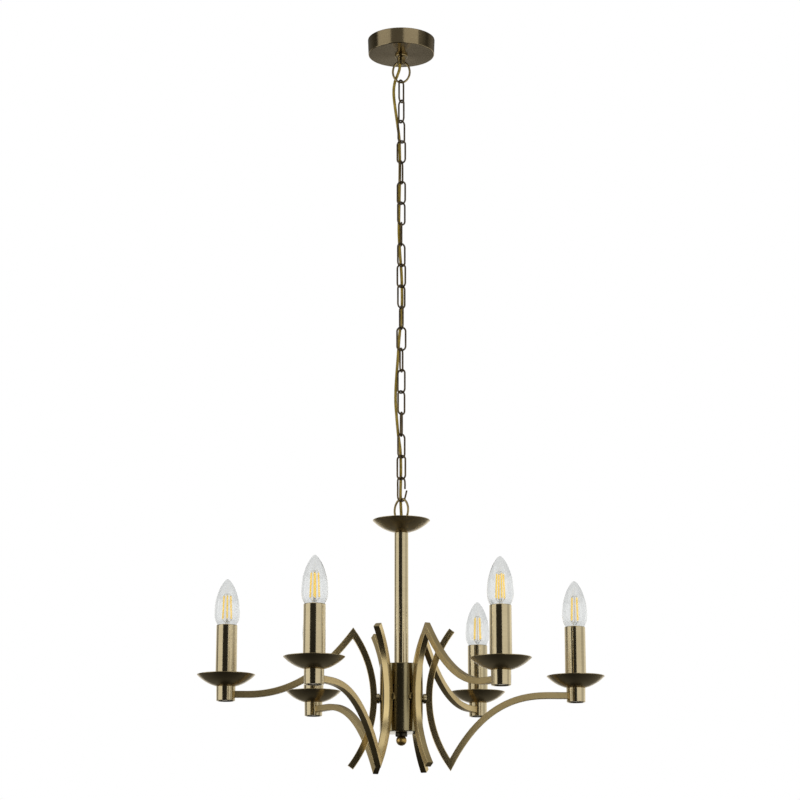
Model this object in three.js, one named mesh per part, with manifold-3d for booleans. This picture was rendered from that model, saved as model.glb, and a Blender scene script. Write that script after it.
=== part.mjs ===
// A six-arm candle chandelier in antique brass, hung on a chain from a ceiling rose.
// Millimetres, +Z up. The origin is the middle of the ceiling plane, so everything hangs below z = 0.

import * as THREE from "three";
import { mergeVertices } from "three/addons/utils/BufferGeometryUtils.js";
import Module from "manifold-3d";

const wasm = await Module();
wasm.setup();

const RAD = Math.PI / 180;
const GAP = 0.3; // clearance between pieces that touch

// Ceiling rose
const ROSE = { radius: 48.5, height: 23.5, wall: 1.2, edge: 1.4, hole: 5.4 };
const BRACKET = { length: 78, width: 18, thick: 2.5, screwPitch: 56, screwRadius: 2.5 };
const COUPLING = { radius: 7, bore: 4.9, bottom: -14 };

// Loop necks: the one under the rose, and the one on top of the stem
const NECK = { radius: 5.7, web: 0.8, beyondRing: 4.8, slotWidth: 4.4, slotHeight: 6, bore: 2.6 };
const COLLAR = { radius: 8.8, thick: 2.5 };
const THREAD = 4.5;
const TOP_CABLE = { x: -2.2, y: 0 }; // where the cable leaves the upper neck
const LOW_CABLE = { x: 0, y: 2.2 }; // where it enters the lower one

// Rings and chain
const RING = { wire: 3.1, halfWidth: 12.3, halfHeight: 16.2 };
const LINK = { wire: 2.6, halfWidth: 6.1, inside: 31.5 };
const UPPER_RING_TOP = -33.3; // centre of the upper ring's wire, inside its neck
const LINK_TURNS = [
  58, -54, 42, -20, 72, -24, 34, -86, 35, -21, 37, -68, 0, 72, -36, 42, -80, 39, -22, 34,
]; // how far each link is turned about the chain's axis, in degrees
const LOWER_RING_TURN = -40;
const OPEN_LINK = { gap: 2, flare: 3 }; // the last link, pried open to hang the fixture

// Supply cable: a route beside and behind the chain
const CABLE_RADIUS = 2.1;
const CABLE_ROUTE = [
  [-2.2, 0, -36.9], [-2.8, 0.6, -45.5], [-6, 3.2, -54.5], [-9.2, 5, -62.5], [-11, 4.4, -75.5],
  [-10.6, 3.6, -89.5], [-8.2, 5, -109.5], [-5.6, 9, -127.5], [-3.2, 6.8, -147.5], [-2.4, 6.4, -167.5],
  [-2.1, 6.8, -187.5], [-2.2, 6.8, -207.5], [-2.5, 7, -227.5], [-2.9, 6.8, -247.5], [-3.3, 8, -269.5],
  [-3.5, 9.8, -291.5], [-2.6, 9.6, -313.5], [-1.2, 6.8, -335.5], [0.2, 6.2, -355.5], [0.9, 6.4, -377.5],
  [1, 8.6, -399.5], [-0.3, 10.2, -419.5], [-2, 10, -439.5], [-3.6, 6.8, -459.5], [-4.8, 6.2, -479.5],
  [-6.4, 8, -500.5], [-7.8, 7.5, -523.5], [-8.1, 5.8, -545.5], [-6.6, 7.6, -567.5], [-4.4, 9.8, -591.5],
  [-1.6, 7.6, -613.5], [-0.7, 6.2, -635.5], [-0.8, 6.2, -657.5], [-1.2, 7.3, -679.5], [-0.7, 5.6, -695.5],
  [0, 2.3, -711], [0, 2.2, -715.9],
];

// Stem, hub and finial
const STEM = { radius: 9.2, bore: 7.7, shoulder: 1.2 };
const HUB = { radius: 30, wall: 1.5, top: -918.5, bottom: -1012.5, edge: 1.2 };
const FINIAL = { neck: 7.8, neckHeight: 4.2, ball: 7.25, ballBelowHub: 10 };

// Drip dishes: one under each candle, and one at the top of the stem
const DISH = { radius: 40, depth: 17.3, wall: 1.2, hole: 5.4 };
const STEM_DISH_RIM = -717;

// Arms. Heights are above or below the middle of the hub's studs, radii are from the stem's axis.
const ARM_COUNT = 6;
const FIRST_ARM = 2.2; // direction of the first arm, in degrees
const ARM_MIDDLE = -965.5;
const BAR = 9; // square bar
const BOW = { waist: 38, radius: 155, reach: 90, freeReach: 94 };
const CANDLE_RADIUS = 241; // radius of the circle that the candles stand on
const RIM = 31.8; // the dish rims, above the middle
const BAR_AT_CUP = 5; // the bar's centre where it meets the cup
const HIGH_SWEEP = [[113.6, 27.6], [160, BAR_AT_CUP], [212, BAR_AT_CUP]];
const LOW_SWEEP = [[114, 0], [170, BAR_AT_CUP], [205, BAR_AT_CUP]];
const CUP = { radius: 12.7, bottom: -4, wall: 1.2 };
const STUD = { radius: 6.5, thread: 4.8, threadEnd: 25.5, hole: 5.2 };

// Candles. Heights are above the dish rim.
const SLEEVE = { radius: 13.9, bore: 12.9, top: 67.8 };
const HOLDER = { radius: 12.2, top: 57.2, bore: 7.6, boreDepth: 27 };
const BULB = { bottom: 34.7, capRadius: 6.9, capTop: 58.7, radius: 17.6, widest: 85.2, tip: 132.7 };

// Colours
const antiqueBrass = new THREE.MeshStandardMaterial({ color: 0x8c7a4c, roughness: 0.36, metalness: 1 });
const darkBronze = new THREE.MeshStandardMaterial({ color: 0x4a3c26, roughness: 0.42, metalness: 1 });
const goldenBrass = new THREE.MeshStandardMaterial({ color: 0x9a7434, roughness: 0.3, metalness: 1 });
const zincSteel = new THREE.MeshStandardMaterial({ color: 0xb9bbb8, roughness: 0.45, metalness: 1 });
const cableGold = new THREE.MeshStandardMaterial({ color: 0x8a7424, roughness: 0.5, metalness: 0.2 });
const holderWhite = new THREE.MeshStandardMaterial({ color: 0xe6e3d8, roughness: 0.5, metalness: 0 });
const clearGlass = new THREE.MeshStandardMaterial({
  color: 0xe8ebe8, roughness: 0.05, metalness: 0, transparent: true, opacity: 0.35,
});

const chandelier = new THREE.Group();

// Adds one named piece to a group.
function piece(name, geometry, material, group = chandelier) {
  const mesh = new THREE.Mesh(geometry, material);
  mesh.name = name;
  group.add(mesh);
  return mesh;
}

// A solid of revolution about Z from [radius, height] points, listed bottom to top on the outside.
function turned(points, segments) {
  const profile = points.map(([r, z]) => new THREE.Vector2(r, z));
  return new THREE.LatheGeometry(profile, segments).rotateX(Math.PI / 2);
}

// The same for a ring-shaped section that doesn't reach the axis.
function turnedRing(points, segments) {
  return turned([...points, points[0]], segments);
}

// A geometry as a manifold-3d solid, and back.
function solid(geometry) {
  const bare = geometry.clone();
  bare.deleteAttribute("normal");
  bare.deleteAttribute("uv");
  const merged = mergeVertices(bare, 1e-4);
  return new wasm.Manifold(
    new wasm.Mesh({
      numProp: 3,
      vertProperties: merged.attributes.position.array,
      triVerts: new Uint32Array(merged.index.array),
    }),
  );
}

function geometryOf(made) {
  const mesh = made.getMesh();
  const geometry = new THREE.BufferGeometry();
  geometry.setAttribute("position", new THREE.BufferAttribute(mesh.vertProperties, 3));
  geometry.setIndex(new THREE.BufferAttribute(mesh.triVerts, 1));
  geometry.computeVertexNormals();
  return geometry;
}

// An upright rod from one height to another.
function rod(radius, low, high, segments) {
  return new THREE.CylinderGeometry(radius, radius, high - low, segments)
    .rotateX(Math.PI / 2)
    .translate(0, 0, (low + high) / 2);
}

// Points on a circular arc, angles in degrees.
function arcPoints(centreX, centreY, radius, from, to, steps) {
  return Array.from({ length: steps + 1 }, (_, i) => {
    const angle = (from + ((to - from) * i) / steps) * RAD;
    return [centreX + radius * Math.cos(angle), centreY + radius * Math.sin(angle)];
  });
}

// A round-ended wire loop in the XZ plane: a torus whose upper and lower halves are pulled apart.
function wireLoop(halfWidth, halfHeight, wire, around, sides) {
  const loop = new THREE.TorusGeometry(halfWidth, wire / 2, sides, around);
  loop.rotateZ(Math.PI / around);
  const crown = halfWidth * Math.cos(Math.PI / around);
  const pull = halfHeight - crown;
  const position = loop.attributes.position;
  for (let i = 0; i < position.count; i++) {
    position.setY(i, position.getY(i) + Math.sign(position.getY(i)) * pull);
  }
  return loop.rotateX(Math.PI / 2);
}

// An oval wire ring in the XZ plane: a torus stretched upwards, with its wire left round.
function wireOval(halfWidth, halfHeight, wire, around, sides) {
  const oval = new THREE.TorusGeometry(halfWidth, wire / 2, sides, around);
  const position = oval.attributes.position;
  for (let i = 0; i < position.count; i++) {
    const [x, y] = [position.getX(i), position.getY(i)];
    position.setY(i, y + ((halfHeight - halfWidth) * y) / Math.hypot(x, y));
  }
  return oval.rotateX(Math.PI / 2);
}

// The ceiling bracket: a bar with two screw holes and a welded, threaded coupling.
function ceilingBracket() {
  const bar = new THREE.BoxGeometry(BRACKET.length, BRACKET.width, BRACKET.thick);
  bar.translate(0, 0, -BRACKET.thick / 2);
  const coupling = turnedRing([
    [COUPLING.bore, COUPLING.bottom], [COUPLING.radius, COUPLING.bottom],
    [COUPLING.radius, -BRACKET.thick + 0.5], [COUPLING.bore, -BRACKET.thick + 0.5],
  ], 12);
  let made = solid(bar).add(solid(coupling));
  for (const side of [-1, 1]) {
    const hole = rod(BRACKET.screwRadius, -BRACKET.thick - 1, 1, 12);
    hole.translate((side * BRACKET.screwPitch) / 2, 0, 0);
    made = made.subtract(solid(hole));
  }
  return geometryOf(made);
}

// The rose cover: a spun cup with its open side to the ceiling.
function roseCover() {
  const { radius, height, wall, edge, hole } = ROSE;
  return turnedRing([
    [hole, -height],
    ...arcPoints(radius - edge, edge - height, edge, -90, 0, 2),
    [radius, 0], [radius - wall, 0],
    [radius - wall, wall - height], [hole, wall - height],
  ], 28);
}

// A neck with a slot across it for a ring. ringZ is the ring's wire, end the neck's open end.
function neckCuts(made, ringZ, end, turn, cable) {
  const towards = Math.sign(end - ringZ);
  const reach = Math.abs(end - ringZ) - NECK.web;
  const slot = new THREE.BoxGeometry(4 * NECK.radius, NECK.slotWidth, NECK.slotHeight);
  slot.translate(0, 0, ringZ + towards * (reach - NECK.slotHeight / 2));
  slot.rotateZ(turn * RAD);
  const bore = rod(NECK.bore, Math.min(ringZ, end) - 1, Math.max(ringZ, end) + 1, 10);
  bore.translate(cable.x, cable.y, 0);
  return made.subtract(solid(slot)).subtract(solid(bore));
}

const UPPER_NECK_END = UPPER_RING_TOP - NECK.beyondRing;
const firstLinkTop = UPPER_RING_TOP - 2 * RING.halfHeight + RING.wire / 2 + GAP; // inside of its crown
const PITCH = LINK.inside - GAP;
const lowerRingTop = firstLinkTop - LINK_TURNS.length * PITCH + RING.wire / 2; // its crown's wire
const lowerRingFoot = lowerRingTop - 2 * RING.halfHeight;
const LOWER_NECK_END = lowerRingFoot + NECK.beyondRing;

// The threaded loop that clamps the rose cover and holds the upper ring.
function roseLoop() {
  const collarTop = -ROSE.height - GAP;
  const body = turned([
    [0, UPPER_NECK_END], [NECK.radius - 0.8, UPPER_NECK_END], [NECK.radius, UPPER_NECK_END + 0.8],
    [NECK.radius, collarTop - COLLAR.thick - 1.5], [NECK.radius - 0.7, collarTop - COLLAR.thick],
    [COLLAR.radius, collarTop - COLLAR.thick], [COLLAR.radius, collarTop],
    [THREAD, collarTop], [THREAD, -BRACKET.thick - 1], [0, -BRACKET.thick - 1],
  ], 16);
  return geometryOf(neckCuts(solid(body), UPPER_RING_TOP, UPPER_NECK_END, 0, TOP_CABLE));
}

// A closed chain link, its middle at z = 0.
function chainLink() {
  return wireLoop(LINK.halfWidth, (LINK.inside + LINK.wire) / 2, LINK.wire, 12, 6);
}

// The open connector link: one leg is parted and its lower end flared outwards.
function openLink() {
  const half = (LINK.inside + LINK.wire) / 2 - LINK.halfWidth;
  const w = LINK.halfWidth;
  const path = new THREE.CurvePath();
  const at = (x, z) => new THREE.Vector3(x, 0, z);
  const crown = arcPoints(0, half, w, 0, 180, 6).map(([x, z]) => at(x, z));
  const foot = arcPoints(0, -half, w, 180, 340, 6).map(([x, z]) => at(x, z));
  const points = [
    at(w, OPEN_LINK.gap / 2), ...crown, at(-w, 0), ...foot, at(w + OPEN_LINK.flare, -OPEN_LINK.gap / 2),
  ];
  for (let i = 1; i < points.length; i++) {
    path.add(new THREE.LineCurve3(points[i - 1], points[i]));
  }
  const section = new THREE.Shape(arcPoints(0, 0, LINK.wire / 2, 0, 300, 5)
    .map(([x, y]) => new THREE.Vector2(x, y)));
  const smooth = new THREE.CatmullRomCurve3(points, false, "centripetal");
  return new THREE.ExtrudeGeometry(section, { steps: 22, bevelEnabled: false, extrudePath: smooth });
}

function chain() {
  LINK_TURNS.forEach((turn, i) => {
    const last = i === LINK_TURNS.length - 1;
    const name = `chain_link_${String(i + 1).padStart(2, "0")}`;
    const link = piece(name, last ? openLink() : chainLink(), darkBronze);
    link.position.z = firstLinkTop - i * PITCH - LINK.inside / 2;
    link.rotation.z = turn * RAD;
  });
}

function rings() {
  const shape = () => wireOval(RING.halfWidth, RING.halfHeight, RING.wire, 20, 6);
  const upper = piece("ring_upper", shape(), goldenBrass);
  upper.position.z = UPPER_RING_TOP - RING.halfHeight;
  const lower = piece("ring_lower", shape(), goldenBrass);
  lower.position.z = lowerRingTop - RING.halfHeight;
  lower.rotation.z = LOWER_RING_TURN * RAD;
}

function supplyCable() {
  const path = new THREE.CatmullRomCurve3(
    CABLE_ROUTE.map((p) => new THREE.Vector3(...p)), false, "catmullrom", 0.5,
  );
  const section = new THREE.Shape(arcPoints(0, 0, CABLE_RADIUS, 0, 315, 7)
    .map(([x, y]) => new THREE.Vector2(x, y)));
  return new THREE.ExtrudeGeometry(section, { steps: 72, bevelEnabled: false, extrudePath: path });
}

// A shallow spun bowl, rim at z = 0.
function dish(hole) {
  const { radius, depth, wall } = DISH;
  const ball = (radius * radius + depth * depth) / (2 * depth); // radius of the bowl's curve
  const height = (r, offset) => ball - depth + offset - Math.sqrt(ball * ball - r * r);
  const steps = [hole, 14, 23, 32, radius];
  const under = steps.map((r) => [r, height(r, 0)]);
  const over = steps.slice(0, -1).reverse().map((r) => [r, height(r, wall)]);
  return turnedRing([...under, [radius - wall, height(radius - wall, wall)], ...over], 16);
}

// Height of a dish's underside at a radius, with the rim at 0.
function dishUnderside(r) {
  const ball = (DISH.radius ** 2 + DISH.depth ** 2) / (2 * DISH.depth);
  return ball - DISH.depth - Math.sqrt(ball * ball - r * r);
}

// The stem: a tube whose head is a collar and loop neck small enough for the dish to drop over.
function stem() {
  const shoulder = STEM_DISH_RIM - DISH.depth + 0.4;
  const foot = HUB.top + GAP;
  const neckFoot = shoulder + 4;
  const outside = [
    [4, foot - 10], [THREAD, foot - 10], [THREAD, foot], [STEM.radius, foot],
    [STEM.radius, shoulder - STEM.shoulder], [STEM.radius - 0.3, shoulder],
    [STEM.bore, shoulder], [STEM.bore, neckFoot], [NECK.radius, neckFoot],
    [NECK.radius, LOWER_NECK_END - 0.8], [NECK.radius - 0.8, LOWER_NECK_END], [0, LOWER_NECK_END],
    [0, neckFoot - 2], [STEM.bore - 1.5, neckFoot - 2], [STEM.bore - 1.5, shoulder - 3],
    [STEM.bore, shoulder - 6], [STEM.bore, foot + 2], [4, foot + 2], [4, foot - 10],
  ];
  return geometryOf(
    neckCuts(solid(turned(outside, 16)), lowerRingFoot, LOWER_NECK_END, LOWER_RING_TURN, LOW_CABLE),
  );
}

// The hub: a hollow drum with six holes for the arms' studs.
function hub() {
  const { radius, wall, top, bottom, edge } = HUB;
  const drum = turnedRing([
    [FINIAL_HOLE, bottom], [radius - edge, bottom], [radius, bottom + edge],
    [radius, top - edge], [radius - edge, top], [THREAD + 0.6, top],
    [THREAD + 0.6, top - wall], [radius - wall, top - wall],
    [radius - wall, bottom + wall], [FINIAL_HOLE, bottom + wall],
  ], 24);
  let made = solid(drum);
  for (let i = 0; i < ARM_COUNT; i++) {
    const hole = new THREE.CylinderGeometry(STUD.hole, STUD.hole, 10, 12);
    hole.rotateZ(Math.PI / 2).translate(radius, 0, ARM_MIDDLE).rotateZ(armTurn(i));
    made = made.subtract(solid(hole));
  }
  return geometryOf(made);
}

// The finial: a threaded ball under the hub.
const FINIAL_HOLE = 4.4;
function finial() {
  const neckTop = HUB.bottom - GAP;
  const neckFoot = neckTop - FINIAL.neckHeight;
  const centre = HUB.bottom - FINIAL.ballBelowHub;
  const rise = Math.asin((neckFoot - centre) / FINIAL.ball) / RAD;
  return turned([
    [0, centre - FINIAL.ball],
    ...arcPoints(0, centre, FINIAL.ball, -60, rise, 4),
    [FINIAL.neck, neckFoot], [FINIAL.neck, neckTop], [3.9, neckTop],
    [3.9, HUB.bottom + 8], [0, HUB.bottom + 8],
  ], 14);
}

function armTurn(i) {
  return (FIRST_ARM + (360 / ARM_COUNT) * i) * RAD;
}

// Points and directions along the bow and its sweep, from the free end to the cup, for a bow
// whose sweep leaves at the top (up = 1) or at the bottom (up = -1).
function armCentreline(up) {
  const { waist, radius, reach, freeReach } = BOW;
  const centre = waist + radius;
  const bow = [];
  const bowSteps = 12;
  for (let i = 0; i <= bowSteps; i++) {
    const z = up * (-freeReach + ((freeReach + reach) * i) / bowSteps);
    bow.push(new THREE.Vector2(centre - Math.sqrt(radius * radius - z * z), z));
  }
  const corner = bow[bow.length - 1];
  const [a, b, c] = (up > 0 ? HIGH_SWEEP : LOW_SWEEP).map((p) => new THREE.Vector2(...p));
  const sweep = new THREE.CubicBezierCurve(corner, a, b, c).getPoints(10);
  const end = new THREE.Vector2(CANDLE_RADIUS - CUP.radius + 2, BAR_AT_CUP);
  return [...bow, ...sweep.slice(1), end];
}

// The outline of a bar of the given width along a line of points, with mitred corners.
function barOutline(points, width) {
  const sides = [[], []];
  points.forEach((point, i) => {
    const before = point.clone().sub(points[i - 1] ?? point).normalize();
    const after = (points[i + 1] ?? point).clone().sub(point).normalize();
    const along = before.clone().add(after).normalize();
    const across = new THREE.Vector2(-along.y, along.x);
    const end = before.length() === 0 || after.length() === 0;
    const half = width / 2 / (end ? 1 : Math.abs(across.dot(new THREE.Vector2(-after.y, after.x))));
    sides[0].push(point.clone().addScaledVector(across, half));
    sides[1].push(point.clone().addScaledVector(across, -half));
  });
  return new THREE.Shape([...sides[0], ...sides[1].reverse()]);
}

// One arm: bow, sweep and cup welded together, with the stud that holds it to the hub.
function arm(up) {
  const bar = new THREE.ExtrudeGeometry(barOutline(armCentreline(up), BAR), {
    depth: BAR, bevelEnabled: false,
  });
  bar.translate(0, 0, -BAR / 2).rotateX(Math.PI / 2);
  const stud = new THREE.CylinderGeometry(STUD.radius, STUD.radius, 1, 12).rotateZ(Math.PI / 2);
  const studStart = HUB.radius + GAP;
  const studEnd = BOW.waist - BAR / 2 + 1;
  stud.scale(studEnd - studStart, 1, 1).translate((studStart + studEnd) / 2, 0, 0);
  const thread = new THREE.CylinderGeometry(STUD.thread, STUD.thread, 1, 10).rotateZ(Math.PI / 2);
  thread.scale(studEnd - STUD.threadEnd, 1, 1).translate((studEnd + STUD.threadEnd) / 2, 0, 0);
  const top = RIM - GAP;
  const cup = turned([
    [0, CUP.bottom], [CUP.radius, CUP.bottom],
    [CUP.radius, top + dishUnderside(CUP.radius)], [THREAD + 0.6, top + dishUnderside(THREAD + 0.6)],
    [THREAD + 0.6, CUP.bottom + 6], [0, CUP.bottom + 6],
  ], 16);
  cup.translate(CANDLE_RADIUS, 0, 0);
  return geometryOf(solid(bar).add(solid(cup)).add(solid(stud)).add(solid(thread)));
}

// The lampholder: a nipple through the dish and an insulated body with an open socket.
function lampholder() {
  const { radius, top, bore, boreDepth } = HOLDER;
  const foot = dishUnderside(8) + DISH.wall + GAP + 0.2;
  return turned([
    [0, CUP.bottom - RIM + 6 + GAP + 0.2], [THREAD, CUP.bottom - RIM + 6 + GAP + 0.2], [THREAD, foot],
    [8, foot], [radius, foot + 2.2], [radius, top], [bore, top],
    [bore, top - boreDepth], [0, top - boreDepth],
  ], 12);
}

// The candle sleeve: a plain tube that stands in the dish.
function candleSleeve() {
  const foot = dishUnderside(SLEEVE.radius) + DISH.wall + GAP + 0.2;
  return turnedRing([
    [SLEEVE.bore, foot], [SLEEVE.radius, foot], [SLEEVE.radius, SLEEVE.top], [SLEEVE.bore, SLEEVE.top],
  ], 16);
}

// The candle bulb: a screw cap and a pointed glass envelope.
function candleBulb() {
  const { bottom, capRadius, capTop, radius, widest, tip } = BULB;
  return turned([
    [0, bottom], [capRadius - 2, bottom + 2], [capRadius, bottom + 5], [capRadius, capTop],
    [9.4, capTop + 3.5], [12.2, capTop + 8.5], [16, 74.2], [radius, widest],
    [16.6, 98.7], [14.2, 109.2], [10.6, 119], [5.2, 128.2], [0, tip],
  ], 12);
}

piece("ceiling_bracket", ceilingBracket(), zincSteel);
piece("rose_cover", roseCover(), antiqueBrass);
piece("rose_loop", roseLoop(), goldenBrass);
rings();
chain();
piece("supply_cable", supplyCable(), cableGold);
piece("stem", stem(), antiqueBrass);
piece("stem_dish", dish(STEM.bore + GAP), antiqueBrass).position.z = STEM_DISH_RIM;
piece("hub", hub(), antiqueBrass);
piece("finial", finial(), goldenBrass);

for (let i = 0; i < ARM_COUNT; i++) {
  const side = new THREE.Group();
  side.position.z = ARM_MIDDLE;
  side.rotation.z = armTurn(i);
  chandelier.add(side);
  const up = i % 2 === 0 ? -1 : 1; // the first arm sweeps up from the bottom, the next down from the top
  piece(`arm_${i + 1}`, arm(up), antiqueBrass, side);
  const candle = new THREE.Group();
  candle.position.set(CANDLE_RADIUS, 0, RIM);
  side.add(candle);
  piece(`drip_dish_${i + 1}`, dish(DISH.hole), antiqueBrass, candle);
  piece(`lampholder_${i + 1}`, lampholder(), holderWhite, candle);
  piece(`candle_sleeve_${i + 1}`, candleSleeve(), antiqueBrass, candle);
  piece(`bulb_${i + 1}`, candleBulb(), clearGlass, candle);
}

export default chandelier;
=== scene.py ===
"""The looks of a six-arm candle chandelier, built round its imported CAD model.

Dimensions and outlines are in mm, and meshes turn them into metres as they are made.
"""

import math

import bmesh
import bpy
from mathutils import Matrix, Vector


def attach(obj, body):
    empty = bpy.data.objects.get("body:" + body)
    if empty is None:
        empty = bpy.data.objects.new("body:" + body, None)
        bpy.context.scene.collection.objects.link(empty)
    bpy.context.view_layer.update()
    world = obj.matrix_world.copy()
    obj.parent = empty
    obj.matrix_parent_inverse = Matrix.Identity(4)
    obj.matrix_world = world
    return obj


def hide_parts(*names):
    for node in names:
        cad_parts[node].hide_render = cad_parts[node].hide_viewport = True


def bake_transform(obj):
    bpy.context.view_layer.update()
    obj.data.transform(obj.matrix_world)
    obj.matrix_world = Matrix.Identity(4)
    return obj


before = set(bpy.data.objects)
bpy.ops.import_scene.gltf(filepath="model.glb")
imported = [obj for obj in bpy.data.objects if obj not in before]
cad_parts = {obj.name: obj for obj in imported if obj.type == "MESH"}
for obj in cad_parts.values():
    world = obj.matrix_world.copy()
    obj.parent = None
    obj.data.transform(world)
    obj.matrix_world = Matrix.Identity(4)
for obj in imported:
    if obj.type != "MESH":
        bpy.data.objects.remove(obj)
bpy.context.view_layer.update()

MM = 0.001
scene = bpy.context.scene

# ---------------------------------------------------------------- dimensions, as in the CAD source
GAP = 0.3
ARM_TURN = 2.2
ARM_MIDDLE = -965.5
HUB_TOP, HUB_FOOT = -918.5, -1012.5
CANDLE_RADIUS = 241
RIM = 31.8
SLEEVE_RADIUS = 13.9
SLEEVE_BORE = 12.9
SLEEVE_TOP = 67.8
CUP_RADIUS = 12.7
BAR_WIDTH = 9
ROSE_RADIUS = 48.5
ROSE_DEPTH = 23.5
ROSE_WALL = 1.2
HUB_RADIUS = 30
HUB_WALL = 1.5
STEM_RADIUS = 9.2
STEM_BORE = 7.7
STEM_DISH_RIM = -717
DISH_RADIUS = 40
DISH_DEPTH = 17.3
DISH_WALL = 1.2
DISH_BALL = (DISH_RADIUS**2 + DISH_DEPTH**2) / (2 * DISH_DEPTH)
UPPER_RING_TOP = -33.3
RING_WIRE = 3.1
RING_HALF = (12.3, 16.2)
NECK_BEYOND_RING = 4.8
NECK_WEB = 0.8
NECK_RADIUS = 5.7
NECK_SLOT_WIDTH = 4.4
NECK_SLOT_HEIGHT = 6
NECK_CUT_REACH = 12  # how far the slot's cutter goes to each side, past the neck
LINK_WIRE = 2.6
LINK_INSIDE = 31.5
LINK_HALF = (6.1, (LINK_INSIDE + LINK_WIRE) / 2)
LINK_TOP = UPPER_RING_TOP - 2 * RING_HALF[1] + RING_WIRE / 2 + GAP
PITCH = LINK_INSIDE - GAP
LINK_TURNS = (
    58, -54, 42, -20, 72, -24, 34, -86, 35, -21,
    37, -68, 0, 72, -36, 42, -80, 39, -22, 34,
)
LINKS = len(LINK_TURNS)
LOWER_RING_TOP = LINK_TOP - LINKS * PITCH + RING_WIRE / 2
LOWER_RING_TURN = -40
LOWER_RING_FOOT = LOWER_RING_TOP - 2 * RING_HALF[1]
UPPER_NECK_END = UPPER_RING_TOP - NECK_BEYOND_RING
LOWER_NECK_END = LOWER_RING_FOOT + NECK_BEYOND_RING
CABLE_RADIUS = 2.1
CABLE_BORE = 2.6
CABLE_CUTS_AT_RINGS = (-49, -706)  # heights where its visual pieces meet, not in the CAD source
CABLE_ROUTE = (
    (-2.2, 0, -36.9), (-2.8, 0.6, -45.5), (-6, 3.2, -54.5), (-9.2, 5, -62.5), (-11, 4.4, -75.5),
    (-10.6, 3.6, -89.5), (-8.2, 5, -109.5), (-5.6, 9, -127.5), (-3.2, 6.8, -147.5), (-2.4, 6.4, -167.5),
    (-2.1, 6.8, -187.5), (-2.2, 6.8, -207.5), (-2.5, 7, -227.5), (-2.9, 6.8, -247.5), (-3.3, 8, -269.5),
    (-3.5, 9.8, -291.5), (-2.6, 9.6, -313.5), (-1.2, 6.8, -335.5), (0.2, 6.2, -355.5), (0.9, 6.4, -377.5),
    (1, 8.6, -399.5), (-0.3, 10.2, -419.5), (-2, 10, -439.5), (-3.6, 6.8, -459.5), (-4.8, 6.2, -479.5),
    (-6.4, 8, -500.5), (-7.8, 7.5, -523.5), (-8.1, 5.8, -545.5), (-6.6, 7.6, -567.5), (-4.4, 9.8, -591.5),
    (-1.6, 7.6, -613.5), (-0.7, 6.2, -635.5), (-0.8, 6.2, -657.5), (-1.2, 7.3, -679.5), (-0.7, 5.6, -695.5),
    (0, 2.3, -711), (0, 2.2, -715.9),
)

# ---------------------------------------------------------------- camera
camera = bpy.data.objects.new("camera", bpy.data.cameras.new("camera"))
scene.collection.objects.link(camera)
camera.location = (-0.0019, -3.174, -1.2945)
camera.rotation_euler = (math.radians(90 + 13.31), 0, 0)
camera.data.sensor_width = 36
camera.data.lens = 103.6
camera.data.clip_end = 50
scene.camera = camera
scene.view_settings.view_transform = "Standard"


# ---------------------------------------------------------------- material helpers
class Nodes:
    """A node tree, built with short calls. Inputs are values or other nodes' outputs."""

    def __init__(self, tree):
        self.tree = tree

    def node(self, kind, inputs=(), **settings):
        node = self.tree.nodes.new(kind)
        for key, value in settings.items():
            setattr(node, key, value)
        for key, value in dict(inputs).items():
            self.put(node.inputs[key], value)
        return node

    def put(self, socket, value):
        if isinstance(value, bpy.types.NodeSocket):
            self.tree.links.new(value, socket)
        else:
            socket.default_value = value

    def span(self, factor, low, high, start=0.0, end=1.0):
        """factor from start..end mapped onto low..high."""
        inputs = {0: factor, 1: start, 2: end, 3: low, 4: high}
        return self.node("ShaderNodeMapRange", inputs).outputs[0]

    def math(self, operation, a, b):
        return self.node("ShaderNodeMath", {0: a, 1: b}, operation=operation).outputs[0]


class Shader(Nodes):
    """A material's node tree. constants set the shader's own sockets."""

    def __init__(self, name, **constants):
        self.material = bpy.data.materials.new(name)
        self.material.use_nodes = True
        super().__init__(self.material.node_tree)
        self.bsdf = self.tree.nodes["Principled BSDF"]
        for key, value in constants.items():
            self.bsdf.inputs[key.replace("_", " ")].default_value = value

    def set(self, key, value):
        self.put(self.bsdf.inputs[key], value)

    def where(self, kind="Object", scale=(1, 1, 1)):
        """Texture coordinates in metres, stretched by scale."""
        source = self.node("ShaderNodeTexCoord").outputs[kind]
        return self.node("ShaderNodeMapping", {0: source, 3: scale}).outputs[0]

    def noise(self, vector, scale, detail=3.0, roughness=0.55):
        inputs = {"Vector": vector, "Scale": scale, "Detail": detail, "Roughness": roughness}
        return self.node("ShaderNodeTexNoise", inputs).outputs[0]

    def ramp(self, factor, *stops):
        """A colour ramp of (place, colour) stops."""
        node = self.node("ShaderNodeValToRGB", {0: factor})
        elements = node.color_ramp.elements
        while len(elements) < len(stops):
            elements.new(0.5)
        for element, (place, colour) in zip(elements, stops):
            element.position = place
            element.color = (*colour, 1)
        return node.outputs[0]

    def mix(self, factor, a, b):
        node = self.node("ShaderNodeMix", data_type="RGBA")
        self.put(node.inputs[0], factor)
        self.put(node.inputs[6], a)
        self.put(node.inputs[7], b)
        return node.outputs[2]

    def bump(self, height, strength, distance):
        inputs = {"Height": height, "Strength": strength, "Distance": distance}
        self.set("Normal", self.node("ShaderNodeBump", inputs).outputs[0])


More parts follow.
